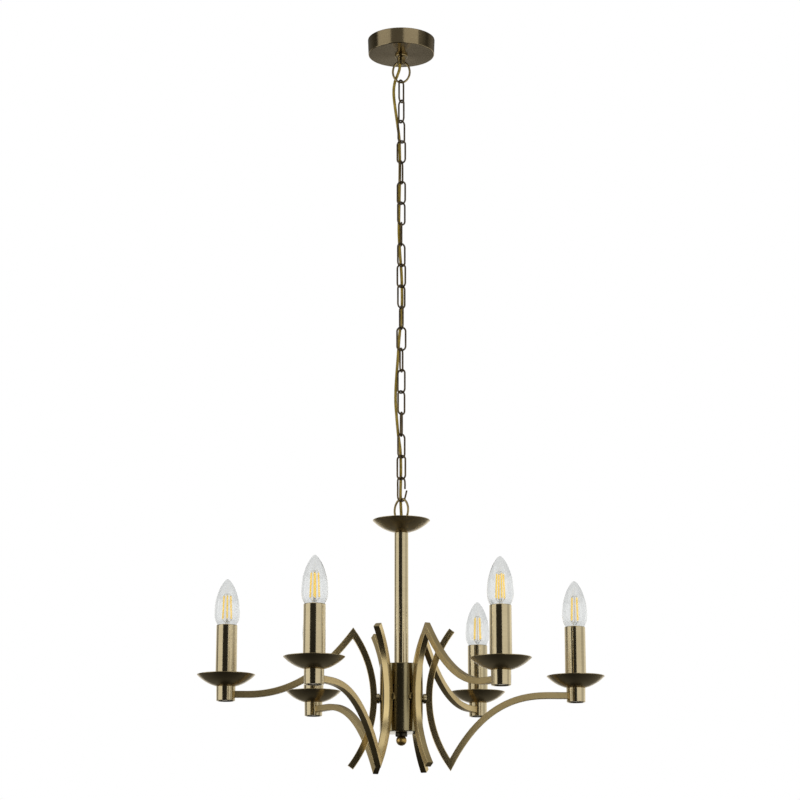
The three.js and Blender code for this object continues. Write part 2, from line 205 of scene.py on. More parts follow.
def brushed(name, dark, light, fine, roughness, ends=None, lathed=0.0):
    """Satin metal with fine brushing. fine stretches the brushing's UV coordinates. ends is the
    roughness beyond a radius of 110 mm, for the arms, whose waists are smoother than their sweeps.
    lathed is how far its circular brushing about the object's Z axis smears reflections across it."""
    half_range = 0.015
    s = Shader(name, Metallic=1.0)
    if lathed:
        s.set("Anisotropic", lathed)
        s.set("Anisotropic Rotation", 0.25)
        s.set("Tangent", s.node("ShaderNodeTangent", direction_type="RADIAL", axis="Z").outputs[0])
    strokes = s.noise(s.where("UV", fine), 1.0, 2.0, 0.5)
    patina = s.noise(s.where("Object"), 14.0, 4.0, 0.55)
    tone = s.math("ADD", s.math("MULTIPLY", patina, 0.7), s.math("MULTIPLY", strokes, 0.3))
    s.set("Base Color", s.ramp(tone, (0.36, dark), (0.62, light)))
    satin = s.span(patina, roughness - half_range, roughness + half_range, 0.35, 0.65)
    if ends:
        reach = s.node("ShaderNodeSeparateXYZ", {0: s.where("Object")}).outputs[0]
        satin = s.math("ADD", satin, s.span(reach, 0.0, ends - roughness, 0.06, 0.11))
    s.set("Roughness", satin)
    return s.material


def chain_bronze():
    s = Shader("chain_bronze", Metallic=1.0)
    rub = s.noise(s.where("Object"), 60.0, 2.0)
    blotch = s.noise(s.where("Object"), 24.0, 2.0)
    tone = s.math("ADD", s.math("MULTIPLY", rub, 0.5), s.math("MULTIPLY", blotch, 0.5))
    s.set("Base Color", s.ramp(tone, (0.38, (0.085, 0.062, 0.035)), (0.64, (0.18, 0.135, 0.075))))
    s.set("Roughness", s.span(rub, 0.38, 0.3, 0.35, 0.65))
    return s.material


def cable_gold():
    """A clear gold sheath over twisted cores: the twist shows as faint slanted bands."""
    s = Shader("cable_gold", Specular_IOR_Level=0.35, Coat_Weight=0.15, Coat_Roughness=0.25)
    axes = s.node("ShaderNodeSeparateXYZ", {0: s.where("UV")})
    across, along = axes.outputs[0], axes.outputs[1]
    slant = s.math("ADD", s.math("MULTIPLY", across, 76.0), s.math("MULTIPLY", along, 45.0))
    wave = s.math("SINE", s.math("MULTIPLY", slant, 2 * math.pi), 0.0)
    band = s.span(wave, 0.0, 1.0, -1.0, 1.0)
    grime = s.noise(s.where("Object"), 70.0, 3.0)
    colour = s.ramp(band, (0.0, (0.29, 0.20, 0.02)), (1.0, (0.40, 0.28, 0.04)))
    s.set("Base Color", s.mix(s.span(grime, 0.0, 0.3, 0.4, 0.8), colour, (0.19, 0.13, 0.015, 1)))
    s.set("Roughness", s.span(grime, 0.32, 0.45, 0.3, 0.7))
    s.bump(band, 0.12, 0.0003)
    return s.material


def moulded(name, colour, roughness=0.4):
    s = Shader(name)
    mottle = s.noise(s.where("Object"), 60.0, 4.0)
    darker = [c * 0.85 for c in colour]
    s.set("Base Color", s.mix(s.span(mottle, 0.0, 0.3, 0.4, 0.7), (*colour, 1), (*darker, 1)))
    s.set("Roughness", s.span(mottle, roughness - 0.06, roughness + 0.08, 0.3, 0.7))
    s.bump(s.noise(s.where("Object"), 1600.0, 2.0), 0.06, 0.0002)
    return s.material


def zinc():
    s = Shader("zinc_steel", Metallic=1.0)
    cells = s.node("ShaderNodeTexVoronoi", {"Vector": s.where("Object"), "Scale": 260.0}).outputs[1]
    grey = s.node("ShaderNodeRGBToBW", {0: cells}).outputs[0]
    s.set("Base Color", s.ramp(grey, (0.2, (0.44, 0.46, 0.47)), (0.8, (0.62, 0.64, 0.64))))
    s.set("Roughness", s.span(grey, 0.3, 0.48))
    return s.material


def clear_glass():
    s = Shader("bulb_glass", Roughness=0.0, IOR=1.45, Transmission_Weight=1.0)
    haze = s.noise(s.where("Object"), 40.0, 2.0)
    s.set("Base Color", s.ramp(haze, (0.3, (0.815, 0.825, 0.82)), (0.7, (0.845, 0.85, 0.845))))
    return s.material


def filament_yellow():
    s = Shader("filament", Coat_Weight=0.4, Coat_Roughness=0.2)
    grain = s.noise(s.where("Object"), 900.0, 3.0)
    s.set("Base Color", s.ramp(grain, (0.35, (0.86, 0.55, 0.06)), (0.65, (0.98, 0.74, 0.16))))
    s.set("Roughness", s.span(grain, 0.42, 0.6, 0.3, 0.7))
    # A faint emission on the filaments is a painted glow that brightens their yellow.
    s.set("Emission Color", (1.0, 0.66, 0.12, 1))
    s.set("Emission Strength", 0.5)
    return s.material


TURNED = brushed("brass_turned", (0.48, 0.40, 0.24), (0.57, 0.48, 0.30), (14, 420, 1), 0.17, lathed=0.5)
ROSE_BRASS = brushed("brass_rose", (0.35, 0.275, 0.155), (0.43, 0.34, 0.195), (10, 380, 1), 0.2, lathed=0.6)
# The hub's brass is a darker copy of the turned brass: painted shade, dimming the reflections round the hub
# among the arms.
HUB_BRASS_PAINTED_SHADE = brushed("brass_hub_painted_shade", (0.26, 0.215, 0.115), (0.32, 0.27, 0.15), (12, 420, 1), 0.2, lathed=0.5)
BAR_BRASS = brushed("brass_bar", (0.53, 0.41, 0.195), (0.65, 0.51, 0.255), (420, 9, 1), 0.2, ends=0.4)
DISH_BRASS = brushed("brass_dish", (0.48, 0.385, 0.21), (0.58, 0.475, 0.275), (9, 420, 1), 0.31, lathed=0.5)
NECK_BRASS = brushed("brass_neck", (0.27, 0.205, 0.095), (0.36, 0.28, 0.135), (40, 380, 1), 0.24)
BALL_BRASS = brushed("brass_ball", (0.46, 0.30, 0.09), (0.60, 0.40, 0.13), (40, 380, 1), 0.36)
GOLD = brushed("brass_gold", (0.36, 0.275, 0.12), (0.46, 0.36, 0.17), (40, 380, 1), 0.22)
BRONZE = chain_bronze()
BLACK_NUT = brushed("nut_black", (0.04, 0.034, 0.024), (0.075, 0.062, 0.04), (40, 380, 1), 0.35)
CABLE = cable_gold()
PLASTIC = moulded("holder_plastic", (0.78, 0.75, 0.66))
NICKEL = brushed("cap_nickel", (0.52, 0.50, 0.45), (0.66, 0.64, 0.58), (40, 380, 1), 0.25)
INSULATOR = moulded("cap_insulator", (0.02, 0.02, 0.022), 0.3)
ZINC = zinc()
GLASS = clear_glass()
FILAMENT = filament_yellow()


# ---------------------------------------------------------------- mesh helpers
class Part:
    """A mesh built from grids of points in mm, with UVs in metres."""

    def __init__(self):
        self.bm = bmesh.new()
        self.uv = self.bm.loops.layers.uv.new("UVMap")

    def face(self, verts, uvs, material):
        kept, kept_uvs = [], []
        for vert, uv in zip(verts, uvs):
            if vert not in kept:
                kept.append(vert)
                kept_uvs.append(uv)
        if len(kept) < 3:
            return
        face = self.bm.faces.new(kept)
        face.material_index = material
        face.smooth = True
        for loop, uv in zip(face.loops, kept_uvs):
            loop[self.uv].uv = uv

    def grid(self, rings, around, along, material=0, loop=False):
        """Closed rings of points joined one to the next. A ring of one point is a pole."""
        made = [[self.bm.verts.new(Vector(p) * MM) for p in ring] for ring in rings]
        n = max(len(ring) for ring in rings)
        pairs = list(zip(range(len(made)), range(1, len(made))))
        if loop:
            pairs.append((len(made) - 1, 0))
        for a, b in pairs:
            va, vb = along[a] * MM, along[b if b else len(made)] * MM
            for i in range(n):
                j = (i + 1) % n
                ua, ub = around * MM * i / n, around * MM * (i + 1) / n
                at = lambda ring, k: made[ring][k if len(made[ring]) > 1 else 0]
                self.face([at(a, i), at(a, j), at(b, j), at(b, i)],
                          [(ua, va), (ub, va), (ub, vb), (ua, vb)], material)
        return made

    def lathe(self, profile, segments, material=0, loop=False):
        """A solid of revolution about Z. The profile runs from axis to axis, or in a loop."""
        rings, along, length = [], [0.0], 0.0
        for i, (r, z) in enumerate(profile):
            if i:
                length += math.dist(profile[i - 1], profile[i])
                along.append(length)
            count = segments if r > 1e-6 else 1
            rings.append([(r * math.cos(t), r * math.sin(t), z)
                          for t in (2 * math.pi * k / count for k in range(count))])
        along.append(length + math.dist(profile[-1], profile[0]))
        widest = max(r for r, _ in profile)
        self.grid(rings, 2 * math.pi * widest, along, material, loop)

    def sweep(self, points, section, material=0, loop=False, frames=None):
        """A cross-section of (across, up) points swept along a line, with flat ends if it is open."""
        frames = frames or transported(points, loop)
        rings, along, length = [], [0.0], 0.0
        for i, (point, (across, up)) in enumerate(zip(points, frames)):
            if i:
                length += (points[i] - points[i - 1]).length
                along.append(length)
            rings.append([point + across * a + up * b for a, b in section])
        along.append(length + (points[-1] - points[0]).length)
        perimeter = sum(math.dist(section[i - 1], section[i]) for i in range(len(section)))
        made = self.grid(rings, perimeter, along, material, loop)
        if not loop:
            for ring in (made[0][::-1], made[-1]):
                self.face(ring, [(v.co.x, v.co.z) for v in ring], material)

    def move(self, matrix, start=0):
        self.bm.verts.ensure_lookup_table()
        bmesh.ops.transform(self.bm, matrix=matrix, verts=self.bm.verts[start:])

    def mesh(self, name, materials):
        bmesh.ops.recalc_face_normals(self.bm, faces=self.bm.faces)
        mark_sharp(self.bm)
        mesh = bpy.data.meshes.new(name)
        self.bm.to_mesh(mesh)
        self.bm.free()
        for material in materials:
            mesh.materials.append(material)
        return mesh


def mark_sharp(bm, degrees=32):
    for edge in bm.edges:
        edge.smooth = len(edge.link_faces) == 2 and edge.calc_face_angle(0) < math.radians(degrees)


def transported(points, loop):
    """Frames along a line that don't twist about it."""
    count = len(points)
    tangents = []
    for i in range(count):
        before = points[i - 1] if i or loop else points[0]
        after = points[(i + 1) % count] if i < count - 1 or loop else points[i]
        tangents.append((after - before).normalized())
    seed = Vector((0, 1, 0)) if abs(tangents[0].y) < 0.9 else Vector((1, 0, 0))
    across = tangents[0].cross(seed).normalized()
    frames = []
    for tangent in tangents:
        across = (across - tangent * across.dot(tangent)).normalized()
        frames.append((across, tangent.cross(across)))
    return frames


def circle(radius, sides):
    return [(radius * math.cos(2 * math.pi * k / sides), radius * math.sin(2 * math.pi * k / sides))
            for k in range(sides)]


def rounded(points, steps=5):
    """A profile whose corners given as (r, z, fillet) are rounded."""
    made = []
    for i, point in enumerate(points):
        if len(point) == 2:
            made.append(point)
            continue
        corner = Vector(point[:2])
        to_last = (Vector(points[i - 1][:2]) - corner).normalized()
        to_next = (Vector(points[(i + 1) % len(points)][:2]) - corner).normalized()
        half = to_last.angle(to_next) / 2
        reach = point[2] / math.tan(half)
        centre = corner + (to_last + to_next).normalized() * (point[2] / math.sin(half))
        first, last = corner + to_last * reach - centre, corner + to_next * reach - centre
        for k in range(steps + 1):
            made.append(tuple(centre + first.slerp(last, k / steps)))
    return made


def smooth_line(points, steps):
    """The uniform Catmull-Rom line through points that three.js draws."""
    points = [Vector(p) for p in points]
    points = [2 * points[0] - points[1], *points, 2 * points[-1] - points[-2]]
    made = []
    for p0, p1, p2, p3 in zip(points, points[1:], points[2:], points[3:]):
        m1, m2 = (p2 - p0) / 2, (p3 - p1) / 2
        for k in range(steps):
            t = k / steps
            made.append(p1 * (2 * t**3 - 3 * t**2 + 1) + p2 * (3 * t**2 - 2 * t**3)
                        + m1 * (t**3 - 2 * t**2 + t) + m2 * (t**3 - t**2))
    return [*made, points[-2]]


def place(name, mesh, body, slot, replaces=(), matrix=None):
    """Puts a rigid piece on a body. Weighted normals keep metal's flat faces flat beside rounded edges."""
    made = bpy.data.objects.new(name, mesh)
    scene.collection.objects.link(made)
    if matrix is not None:
        made.matrix_world = matrix
    if GLASS.name not in mesh.materials:
        normals = made.modifiers.new("flat_faces", "WEIGHTED_NORMAL")
        normals.keep_sharp = True
        normals.weight = 90
    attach(made, body)
    if replaces:
        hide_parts(*replaces)


def cut(mesh, *cutters):
    """mesh with the cutters' meshes taken out of it."""
    materials = list(mesh.materials)
    target = bpy.data.objects.new("cut", mesh)
    scene.collection.objects.link(target)
    tools = []
    for cutter in cutters:
        tool = bpy.data.objects.new("cutter", cutter)
        scene.collection.objects.link(tool)
        modifier = target.modifiers.new("cut", "BOOLEAN")
        modifier.operation = "DIFFERENCE"
        modifier.solver = "EXACT"
        modifier.object = tool
        tools.append(tool)
    evaluated = target.evaluated_get(bpy.context.evaluated_depsgraph_get())
    made = bpy.data.meshes.new_from_object(evaluated)
    for thing in (target, *tools):
        bpy.data.objects.remove(thing)
    bm = bmesh.new()
    bm.from_mesh(made)
    mark_sharp(bm)
    bm.to_mesh(made)
    bm.free()
    made.materials.clear()
    for material in materials:
        made.materials.append(material)
    return made


def turn_z(degrees, z=0.0):
    return Matrix.Translation((0, 0, z * MM)) @ Matrix.Rotation(math.radians(degrees), 4, "Z")


# ---------------------------------------------------------------- supply cable, one piece per joint
def link_middle(k):
    """The height of link k's middle, counting from 0 at the top."""
    return LINK_TOP - k * PITCH - LINK_INSIDE / 2


def cable_stretches():
    """The cable's line, cut beside the two rings and at each link's middle."""
    line = smooth_line(CABLE_ROUTE, 14)
    upper_cut, lower_cut = CABLE_CUTS_AT_RINGS
    cuts = [upper_cut, *[link_middle(k) for k in range(LINKS)], lower_cut]
    stretches = [[line[0]]]
    for a, b in zip(line, line[1:]):
        if len(stretches) <= len(cuts) and b.z <= cuts[len(stretches) - 1]:
            crossing = a.lerp(b, (cuts[len(stretches) - 1] - a.z) / (b.z - a.z))
            stretches[-1].append(crossing)
            stretches.append([crossing])
        stretches[-1].append(b)
    shortest_step = 0.05
    return [[p for i, p in enumerate(points) if i == 0 or (p - points[i - 1]).length > shortest_step]
            for points in stretches]


def cable_frames(points, across):
    """Frames that carry on from across, so that one piece's surface runs on into the next."""
    frames = []
    for before, after in zip([points[0], *points], [*points[1:], points[-1]]):
        tangent = (after - before).normalized()
        across = (across - tangent * across.dot(tangent)).normalized()
        frames.append((across, tangent.cross(across)))
    return frames


def cable():
    stretches = cable_stretches()
    across, pieces = Vector((1, 0, 0)), []
    for k, points in enumerate(stretches):
        frames = cable_frames(points, across)
        across = frames[-1][0]
        part = Part()
        part.sweep(points, circle(CABLE_RADIUS, 20), frames=frames)
        name = f"flex_{k:02d}"
        piece = bpy.data.objects.new(name, part.mesh(name, [CABLE]))
        scene.collection.objects.link(piece)
        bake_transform(piece)
        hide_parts("supply_cable")
        pieces.append(piece)
    for k in range(1, len(pieces) - 1):
        points = stretches[k]


# ---------------------------------------------------------------- chain and rings
def oval(half_width, half_height, steps):
    """A closed line: two half circles joined by straight legs, in the XZ plane."""
    rise = half_height - half_width
    arc = [math.pi * k / steps for k in range(steps + 1)]
    top = [Vector((half_width * math.cos(t), 0, rise + half_width * math.sin(t))) for t in arc]
    foot = [Vector((-p.x, 0, -p.z)) for p in top]
    legs = 3
    down = [top[-1].lerp(foot[0], k / legs) for k in range(1, legs)]
    up = [foot[-1].lerp(top[0], k / legs) for k in range(1, legs)]
    return [*top, *down, *foot, *up]


def wire_loop(name, points, wire, material):
    part = Part()
    part.sweep(points, circle(wire / 2, 16), loop=True, frames=planar(points, True))
    return part.mesh(name, [material])


def planar(points, loop):
    """Frames of a line in the XZ plane: across it in the plane, and along Y."""
    count, frames = len(points), []
    for i in range(count):
        before = points[i - 1] if i or loop else points[0]
        after = points[(i + 1) % count] if i < count - 1 or loop else points[i]
        tangent = (after - before).normalized()
        frames.append((Vector((tangent.z, 0, -tangent.x)), Vector((0, 1, 0))))
    return frames


def open_link():
    """The last link, whose right leg is prised open by a few millimetres."""
    half = LINK_HALF[1] - LINK_HALF[0]
    width = LINK_HALF[0]

    def arc(z, first, last):
        turns = [math.radians(first + (last - first) * k / 8) for k in range(9)]
        return [Vector((width * math.cos(t), 0, z + width * math.sin(t))) for t in turns]

    knots = [Vector((width, 0, 1)), *arc(half, 0, 180)[::2], Vector((-width, 0, 0)),
             *arc(-half, 180, 340)[::2], Vector((width + 3, 0, -1))]
    points = smooth_line(knots, 8)
    part = Part()
    part.sweep(points, circle(LINK_WIRE / 2, 16), frames=planar(points, False))
    return part.mesh("chain_open_link", [BRONZE])


def hang_chain():
    turns = [2 * math.pi * k / 72 for k in range(72)]
    ellipse = [Vector((RING_HALF[0] * math.cos(t), 0, RING_HALF[1] * math.sin(t))) for t in turns]
    ring = wire_loop("ring", ellipse, RING_WIRE, GOLD)
    half = RING_HALF[1]
    place("upper_ring", ring, "ring_upper", "golden_brass", ["ring_upper"],
          turn_z(0, UPPER_RING_TOP - half))
    place("lower_ring", ring, "ring_lower", "golden_brass", ["ring_lower"],
          turn_z(LOWER_RING_TURN, LOWER_RING_TOP - half))
    closed, opened = wire_loop("chain_link", oval(*LINK_HALF, 20), LINK_WIRE, BRONZE), open_link()
    for k, turn in enumerate(LINK_TURNS):
        mesh = opened if k == LINKS - 1 else closed
        number = f"{k + 1:02d}"
        place(f"link_{number}", mesh, f"link_{number}", "chain_bronze", [f"chain_link_{number}"],
              turn_z(turn, link_middle(k)))


# ---------------------------------------------------------------- rose, stem and hub
def block(low, high, name="cutter", materials=()):
    part = Part()
    xs, ys, zs = zip(low, high)
    ring = lambda z: [(xs[0], ys[0], z), (xs[1], ys[0], z), (xs[1], ys[1], z), (xs[0], ys[1], z)]
    part.grid([[(0, 0, zs[0])], ring(zs[0]), ring(zs[1]), [(0, 0, zs[1])]], 1, [0, 1, 2, 3, 4])
    return part.mesh(name, materials)


def slot_cutter(foot):
    """Cuts the slot that a ring hangs through, open to both sides of a neck."""
    half = NECK_SLOT_WIDTH / 2
    return block((-NECK_CUT_REACH, -half, foot), (NECK_CUT_REACH, half, foot + NECK_SLOT_HEIGHT))


def drill(x, y, radius, low, high):
    """A cutter for an upright round hole."""
    part = Part()
    part.lathe([(0, low), (radius, low), (radius, high), (0, high)], 32)
    part.move(Matrix.Translation((x * MM, y * MM, 0)))
    return part.mesh("cutter", [])


def ceiling():
    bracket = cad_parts["ceiling_bracket"]
    bracket.data.materials.clear()
    bracket.data.materials.append(ZINC)
    bevel = bracket.modifiers.new("edges", "BEVEL")
    bevel.width = 0.0003
    bevel.segments = 2
    inside = ROSE_RADIUS - ROSE_WALL
    part = Part()
    part.lathe(rounded([
        (5.4, -ROSE_DEPTH), (ROSE_RADIUS, -ROSE_DEPTH, 1.3), (ROSE_RADIUS, 0, 0.5), (inside, 0, 0.5),
        (inside, ROSE_WALL - ROSE_DEPTH, 0.2), (5.4, ROSE_WALL - ROSE_DEPTH),
    ], 8), 128, loop=True)
    place("rose", part.mesh("rose", [ROSE_BRASS]), "ceiling", "antique_brass", ["rose_cover"])
    part = Part()
    end = UPPER_NECK_END
    part.lathe(rounded([
        (0, end), (NECK_RADIUS, end, 1.2), (NECK_RADIUS, -28.4, 0.4), (5.1, -27.4, 0.3), (5.1, -26.3),
        (8.8, -26.3, 0.7), (8.8, -23.8, 0.5), (4.5, -23.8), (4.5, -3.6, 0.5), (0, -3.6),
    ], 4), 64)
    entry_x, entry_y, _ = CABLE_ROUTE[0]
    neck = cut(part.mesh("rose_neck", [NECK_BRASS]), slot_cutter(end + NECK_WEB),
               drill(entry_x, entry_y, CABLE_BORE, end - 1, UPPER_RING_TOP + 1))
    place("rose_neck", neck, "ceiling", "golden_brass", ["rose_loop"])


def dish_underside(r, lift=0.0):
    return DISH_BALL - DISH_DEPTH - math.sqrt((DISH_BALL - lift) ** 2 - r * r)


def dish(name, hole):
    """A spun bowl with a softly rounded rim."""
    steps = 26
    radii = [hole + (DISH_RADIUS - 0.45 - hole) * k / steps for k in range(steps + 1)]
    under = [(r, dish_underside(r)) for r in radii]
    over = [(r, dish_underside(r, DISH_WALL)) for r in radii if r < 39.3][::-1]
    rim = [(39.93, -0.35), (40.0, -0.02), (39.9, 0.25), (39.6, 0.36), (39.3, 0.2)]
    part = Part()
    part.lathe([*under, *rim, *over], 112, loop=True)
    return part.mesh(name, [DISH_BRASS])


def column():
    shoulder, foot = STEM_DISH_RIM - DISH_DEPTH + 0.4, HUB_TOP + 0.3
    end, collar = LOWER_NECK_END, 7.7
    part = Part()
    part.lathe(rounded([
        (3.6, foot - 10), (4.5, foot - 10, 0.4), (4.5, foot), (STEM_RADIUS, foot, 0.4),
        (STEM_RADIUS, shoulder - 1.2, 0.5), (collar, shoulder), (collar, shoulder + 4, 0.8),
        (NECK_RADIUS, shoulder + 4), (NECK_RADIUS, end, 1.2), (0, end),
        (0, shoulder + 2), (6.2, shoulder + 2), (6.2, shoulder - 3), (STEM_BORE, shoulder - 6),
        (STEM_BORE, foot + 2), (3.6, foot + 2),
    ], 4), 72)
    bmesh.ops.remove_doubles(part.bm, verts=list(part.bm.verts), dist=1e-7)
    close_ends(part)
    slot = slot_cutter(end - NECK_WEB - NECK_SLOT_HEIGHT)
    slot.transform(turn_z(LOWER_RING_TURN))
    exit_x, exit_y, _ = CABLE_ROUTE[-1]
    body = cut(part.mesh("stem_tube", [TURNED, NECK_BRASS]), slot,
               drill(exit_x, exit_y, CABLE_BORE, LOWER_RING_FOOT - 1, end + 1))
    for polygon in body.polygons:
        if polygon.center.z > shoulder * MM:
            polygon.material_index = 1
    place("stem_tube", body, "fixture", "antique_brass", ["stem"])
    place("stem_bowl", dish("stem_bowl", 8.0), "fixture", "antique_brass", ["stem_dish"],
          turn_z(0, STEM_DISH_RIM))


def close_ends(part):
    """Joins the first and last rings of a hollow turned part."""
    open_edges = [e for e in part.bm.edges if len(e.link_faces) < 2]
    if open_edges:
        bmesh.ops.bridge_loops(part.bm, edges=open_edges)


def drum():
    part = Part()
    part.lathe(rounded([
        (4.4, HUB_FOOT), (HUB_RADIUS, HUB_FOOT, 1.4), (HUB_RADIUS, HUB_TOP, 1.4), (5.1, HUB_TOP),
        (5.1, HUB_TOP - HUB_WALL), (HUB_RADIUS - HUB_WALL, HUB_TOP - HUB_WALL),
        (HUB_RADIUS - HUB_WALL, HUB_FOOT + HUB_WALL), (4.4, HUB_FOOT + HUB_WALL),
    ], 6), 112, loop=True)
    place("hub_drum", part.mesh("hub_drum", [HUB_BRASS_PAINTED_SHADE]), "fixture", "antique_brass", ["hub"])
    part = Part()
    ball_radius, ball_middle = 7.25, HUB_FOOT - 10
    turns = [math.radians(-90 + 140 * k / 22) for k in range(23)]
    ball = [(ball_radius * math.cos(t), ball_middle + ball_radius * math.sin(t)) for t in turns]
    part.lathe([
        (0, ball[0][1]), *ball[1:], (4.6, HUB_FOOT - 4.1), (4.6, HUB_FOOT - 3.2), (3.9, HUB_FOOT - 3.2),
        (3.9, HUB_FOOT + 8), (0, HUB_FOOT + 8),
    ], 56)
    place("finial_ball", part.mesh("finial_ball", [BALL_BRASS]), "fixture", "golden_brass", ["finial"])
    part = Part()
    part.lathe(rounded([
        (4.8, HUB_FOOT - 4.5), (7.8, HUB_FOOT - 4.5, 0.6), (7.8, HUB_FOOT - 0.3, 0.6), (4.8, HUB_FOOT - 0.3),
    ], 4), 48, loop=True)
    place("finial_nut", part.mesh("finial_nut", [BLACK_NUT]), "fixture", "golden_brass")


# ---------------------------------------------------------------- arms
def bezier(a, b, c, d, steps):
    return [a * (1 - t) ** 3 + b * 3 * t * (1 - t) ** 2 + c * 3 * t * t * (1 - t) + d * t**3
            for t in (k / steps for k in range(steps + 1))]


def arm_line(up):
    """The bar's centreline as (radius, height) from the bow's free end to the cup.

    The sweep leaves the bow at its head where up is 1, and at its foot where up is -1."""
    centre, radius = 193, 155
    free_end, bow_height = -94, 184
    heights = [up * (free_end + bow_height * k / 40) for k in range(41)]
    bow = [Vector((centre - math.sqrt(radius**2 - z * z), z)) for z in heights]
    ends = ((113.6, 27.6), (160, 5), (212, 5)) if up > 0 else ((114, 0), (170, 5), (205, 5))
    sweep = bezier(bow[-1], *[Vector(p) for p in ends], 28)
    return bow, [*sweep, Vector((CANDLE_RADIUS - 10.7, 5))]


def square(width, edge, steps=3):
    """A square section with rounded edges."""
    half = width / 2 - edge
    return [(sx * half + edge * math.cos(t), sy * half + edge * math.sin(t))
            for sx, sy, start in ((1, 1, 0), (-1, 1, 90), (-1, -1, 180), (1, -1, 270))
            for t in (math.radians(start + 90 * k / steps) for k in range(steps + 1))]


def arm_mesh(name, up):
    """An arm: one mitred bar for the bow and sweep, with its stud and cup. up is as in arm_line."""
    bow, sweep = arm_line(up)
    line = [*bow, *sweep[1:]]
    points, frames = [], []
    for i, p in enumerate(line):
        before = (p - line[i - 1]).normalized() if i else None
        after = (line[i + 1] - p).normalized() if i < len(line) - 1 else None
        along = ((before or after) + (after or before)).normalized()
        across = Vector((-along.y, along.x))
        edge = Vector((-(after or before).y, (after or before).x))
        points.append(Vector((p.x, 0, p.y)))
        frames.append((Vector((across.x, 0, across.y)) / abs(across.dot(edge)), Vector((0, 1, 0))))
    part = Part()
    part.sweep(points, square(BAR_WIDTH, 0.75), 0, frames=frames)
    start = len(part.bm.verts)
    stud = rounded([(0, 25.5), (4.8, 25.5, 0.5), (4.8, 30.3), (6.5, 30.3, 0.6), (6.5, 34.5), (0, 34.5)], 3)
    part.lathe(stud, 40, 1)
    part.move(Matrix.Rotation(math.radians(90), 4, "Y"), start)
    start = len(part.bm.verts)
    part.lathe(cup_profile(), 72, 1)
    part.move(Matrix.Translation((CANDLE_RADIUS * MM, 0, 0)), start)
    return part.mesh(name, [BAR_BRASS, TURNED])


def cup_profile():
    """The cup at the arm's end, shaped on top to fit under the dish. Heights are from the bow's middle."""
    top = RIM - 0.3
    rise = [(r, top + dish_underside(r)) for r in (12.0, 9.5, 7.5, 5.2)]
    return rounded([
        (0, -3.0), (10.4, -3.0), (10.9, -4.0), (CUP_RADIUS, -4.0, 0.8),
        (CUP_RADIUS, top + dish_underside(CUP_RADIUS), 0.5), *rise, (5.2, 2), (0, 2),
    ], 4)


# ---------------------------------------------------------------- candles, all heights above the dish rim
def sleeve_mesh():
    foot = dish_underside(SLEEVE_RADIUS) + DISH_WALL + 0.5
    part = Part()
    part.lathe(rounded([
        (SLEEVE_BORE, foot), (SLEEVE_RADIUS, foot, 0.2), (SLEEVE_RADIUS, SLEEVE_TOP, 0.45),
        (SLEEVE_BORE, SLEEVE_TOP, 0.4),
    ], 3), 80, loop=True)
    return part.mesh("sleeve", [TURNED])


def holder_mesh():
    """The insulated lampholder on its nipple, with a threaded shell inside."""
    foot = dish_underside(8) + DISH_WALL + 0.5
    part = Part()
    part.lathe(rounded([
        (0, -29), (4.5, -29, 0.4), (4.5, foot), (8, foot, 0.8), (12.2, foot + 2.2, 1.0), (12.2, 57.2, 0.8),
        (9.2, 57.2, 0.5), (9.2, 30.7), (0, 30.7),
    ], 3), 48)
    shell = [(8.9, 31.0)]
    threads, thread_pitch = 9, 2.8
    for k in range(threads):
        z = 32.2 + thread_pitch * k
        shell += [(8.9, z), (8.2, z + 1.0), (8.2, z + 1.4)]
    shell += [(8.9, 56.6), (7.9, 56.6), *[(r - 0.5, h) for r, h in shell[::-1]]]
    part.lathe(shell, 48, 1, loop=True)
    return part.mesh("holder", [PLASTIC, TURNED])


BULB_SEAT = 34.7  # the foot of the bulb's cap above the dish rim; its own heights are above that
BULB_OUTLINE = (
    (8.6, 24.3), (9.3, 26.7), (10.6, 29.5), (12.3, 32.5), (14.1, 35.4), (15.9, 39.1), (17.1, 43.7),
    (17.6, 49.5), (17.45, 55.5), (16.8, 63), (15.6, 69.5), (13.9, 75.5), (11.9, 81.3), (9.6, 86.5),
    (7.2, 90.7), (4.9, 94.1), (2.8, 96.4), (1.2, 97.6),
)


def bulb_glass():
    """The hollow envelope, with the solid glass press that holds the filaments' leads."""
    outline = [(p.x, p.y) for p in smooth_line([(r, z, 0) for r, z in BULB_OUTLINE], 6)]
    wall, inner = 0.8, []
    for i, (r, z) in enumerate(outline):
        before, after = outline[max(i - 1, 0)], outline[min(i + 1, len(outline) - 1)]
        along = Vector((after[0] - before[0], after[1] - before[1])).normalized()
        if r - wall * along.y > 0.6:
            inner.append((r - wall * along.y, z + wall * along.x))
    part = Part()
    part.lathe([*outline, (0.0, 97.95)], 72)
    part.lathe([*inner, (0.0, inner[-1][1] + 0.6)], 72)
    close_ends(part)
    part.lathe([
        (0, 24.4), (6.2, 24.5), (4.6, 28), (2.6, 31.5), (2.3, 35.5), (2.0, 40.1), (1.4, 41.1), (0, 41.3),
    ], 32)
    return part.mesh("envelope", [GLASS])


def bulb_cap():
    """The E14 cap: a shell with a rolled thread, a dark insulator and a contact."""
    part = Part()
    shell = [(0, 3.9), (5.3, 3.9), (6.2, 5.1)]
    threads, thread_pitch = 6, 2.82
    for k in range(threads):
        z = 5.7 + thread_pitch * k
        shell += [(6.3, z), (6.75, z + 0.7), (6.85, z + 1.15), (6.75, z + 1.6), (6.3, z + 2.3)]
    shell += [(6.85, 22.1), (7.0, 23.1), (8.4, 24.4), (9.6, 27.1), (9.45, 27.7), (8.8, 27.5), (0, 24.2)]
    part.lathe(shell, 56, 0)
    part.lathe([(0, 1.7), (3.0, 1.7), (4.4, 2.5), (5.3, 3.8), (0, 3.8)], 40, 1)
    part.lathe([(0, 0), (1.6, 0.2), (2.3, 0.9), (2.5, 1.6), (0, 1.6)], 32, 0)
    return part.mesh("cap", [NICKEL, INSULATOR])


